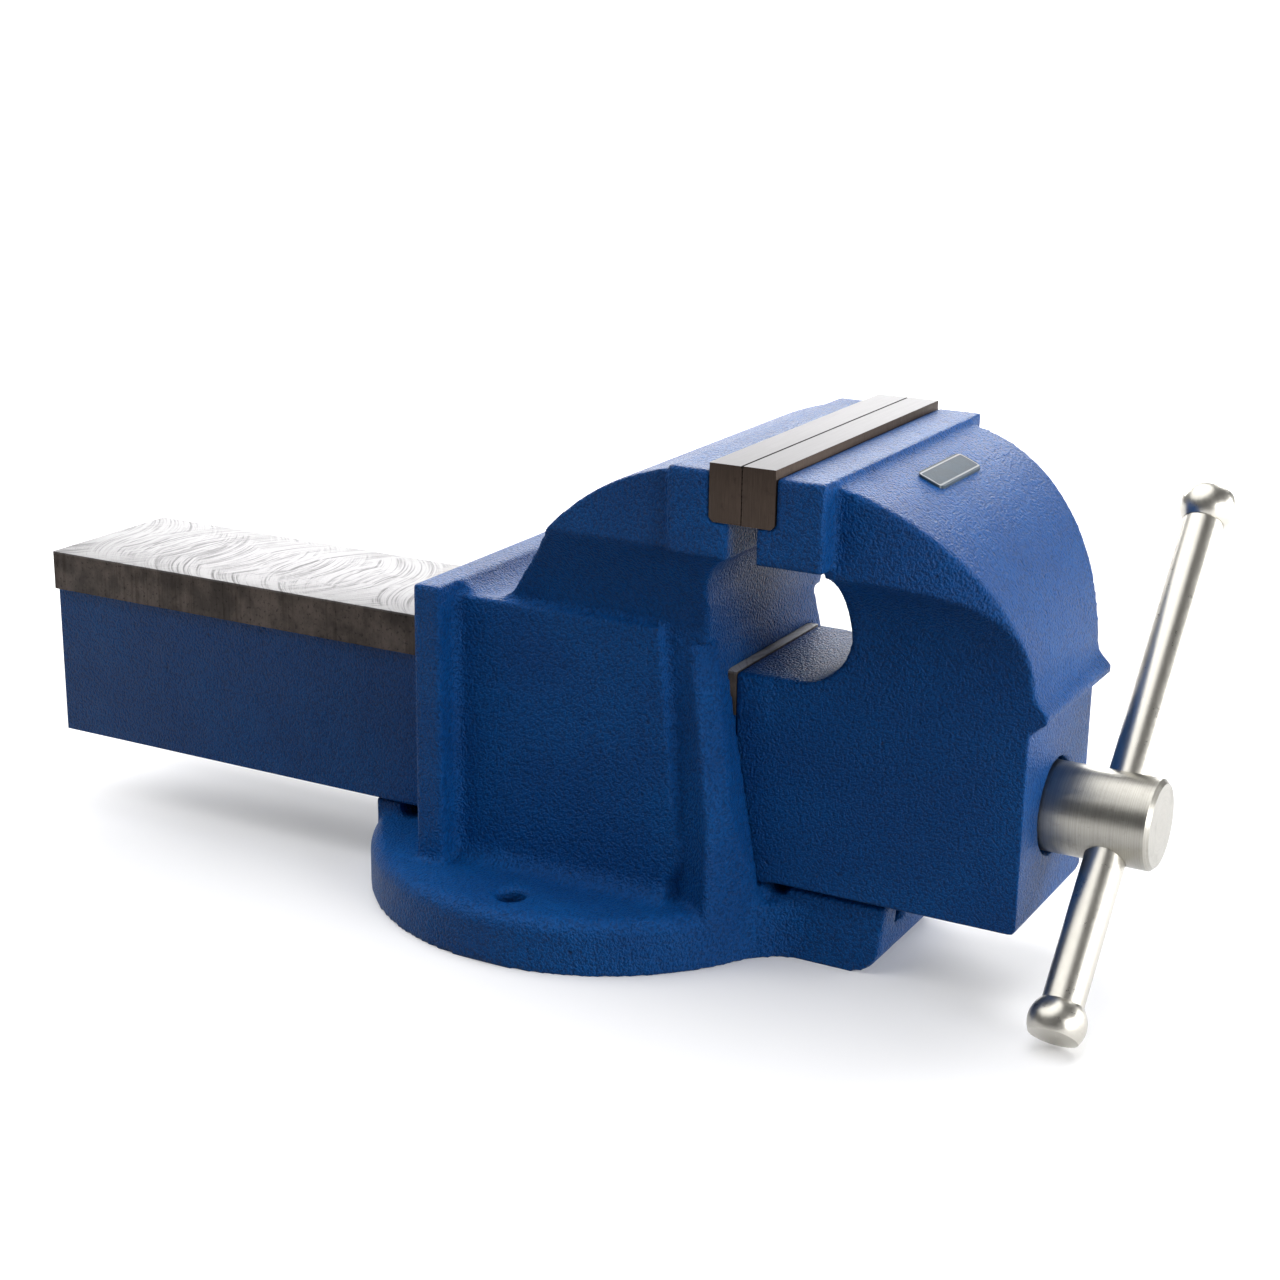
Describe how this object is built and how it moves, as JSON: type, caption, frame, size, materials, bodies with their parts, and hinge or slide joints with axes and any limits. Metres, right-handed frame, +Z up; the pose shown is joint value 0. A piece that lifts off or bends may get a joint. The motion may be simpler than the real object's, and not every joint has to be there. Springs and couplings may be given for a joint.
{
  "type": "bench vise",
  "caption": "Bench vise on a round base: fixed jaw, sliding jaw on a channel slide, lead screw and nut, and a sliding tommy bar with ball ends.",
  "frame": {"origin": "centre of the round base's underside, where the vise rests on a bench", "axes": "+Z up, +Y from the screw's handle towards the slide's rear end, +X along the jaws"},
  "size_m": [0.1987, 0.4934, 0.201],
  "materials": {
    "blue_casting": "gloss enamel over sand-cast iron",
    "hardened_plate": "ground steel with dark ends",
    "dark_screws": "blackened steel",
    "grey_iron": "bare cast iron",
    "plain_bolts": "zinc plated",
    "bright_steel": "ground steel",
    "badge_grey": "satin grey plate",
    "turned_steel": "turned steel",
    "spring_steel": "spring steel",
    "plated_bar": "bright plated steel"
  },
  "bodies": {
    "fixed_jaw_body": {"fixed_body": "blue_casting", "fixed_jaw_plate": "hardened_plate", "fixed_plate_screws": "dark_screws", "main_nut": "grey_iron", "nut_screws": "plain_bolts", "nut_washers": "plain_bolts", "nut_dowels": "bright_steel"},
    "sliding_jaw_body": {"sliding_jaw": "blue_casting", "sliding_jaw_plate": "hardened_plate", "sliding_plate_screws": "dark_screws", "blank_badge": "badge_grey", "spring_washer": "bright_steel"},
    "screw_body": {"main_screw": "turned_steel", "thrust_washer": "bright_steel", "take_up_spring": "spring_steel", "retaining_collar": "turned_steel", "collar_pin": "bright_steel"},
    "tommy_bar": {"handle_bar": "plated_bar", "upper_knob": "plated_bar", "lower_knob": "plated_bar"}
  },
  "joints": [
    {"name": "jaw_slide", "type": "slide", "parent": "fixed_jaw_body", "child": "sliding_jaw_body", "axis": [0, -1, 0], "range_m": [0, 0.2]},
    {"name": "screw_turn", "type": "hinge", "parent": "sliding_jaw_body", "child": "screw_body", "pos_m": [0, -0.2149, 0.06975], "axis": [0, -1, 0], "range_deg": [0, 14400]},
    {"name": "bar_slide", "type": "slide", "parent": "screw_body", "child": "tommy_bar", "axis": [0.6807, 0, 0.7325], "range_m": [-0.1085, 0.0555]}
  ],
  "couplings": [
    {"joint": "jaw_slide", "follows": "screw_turn", "m_per_rad": 0.00079577}
  ]
}
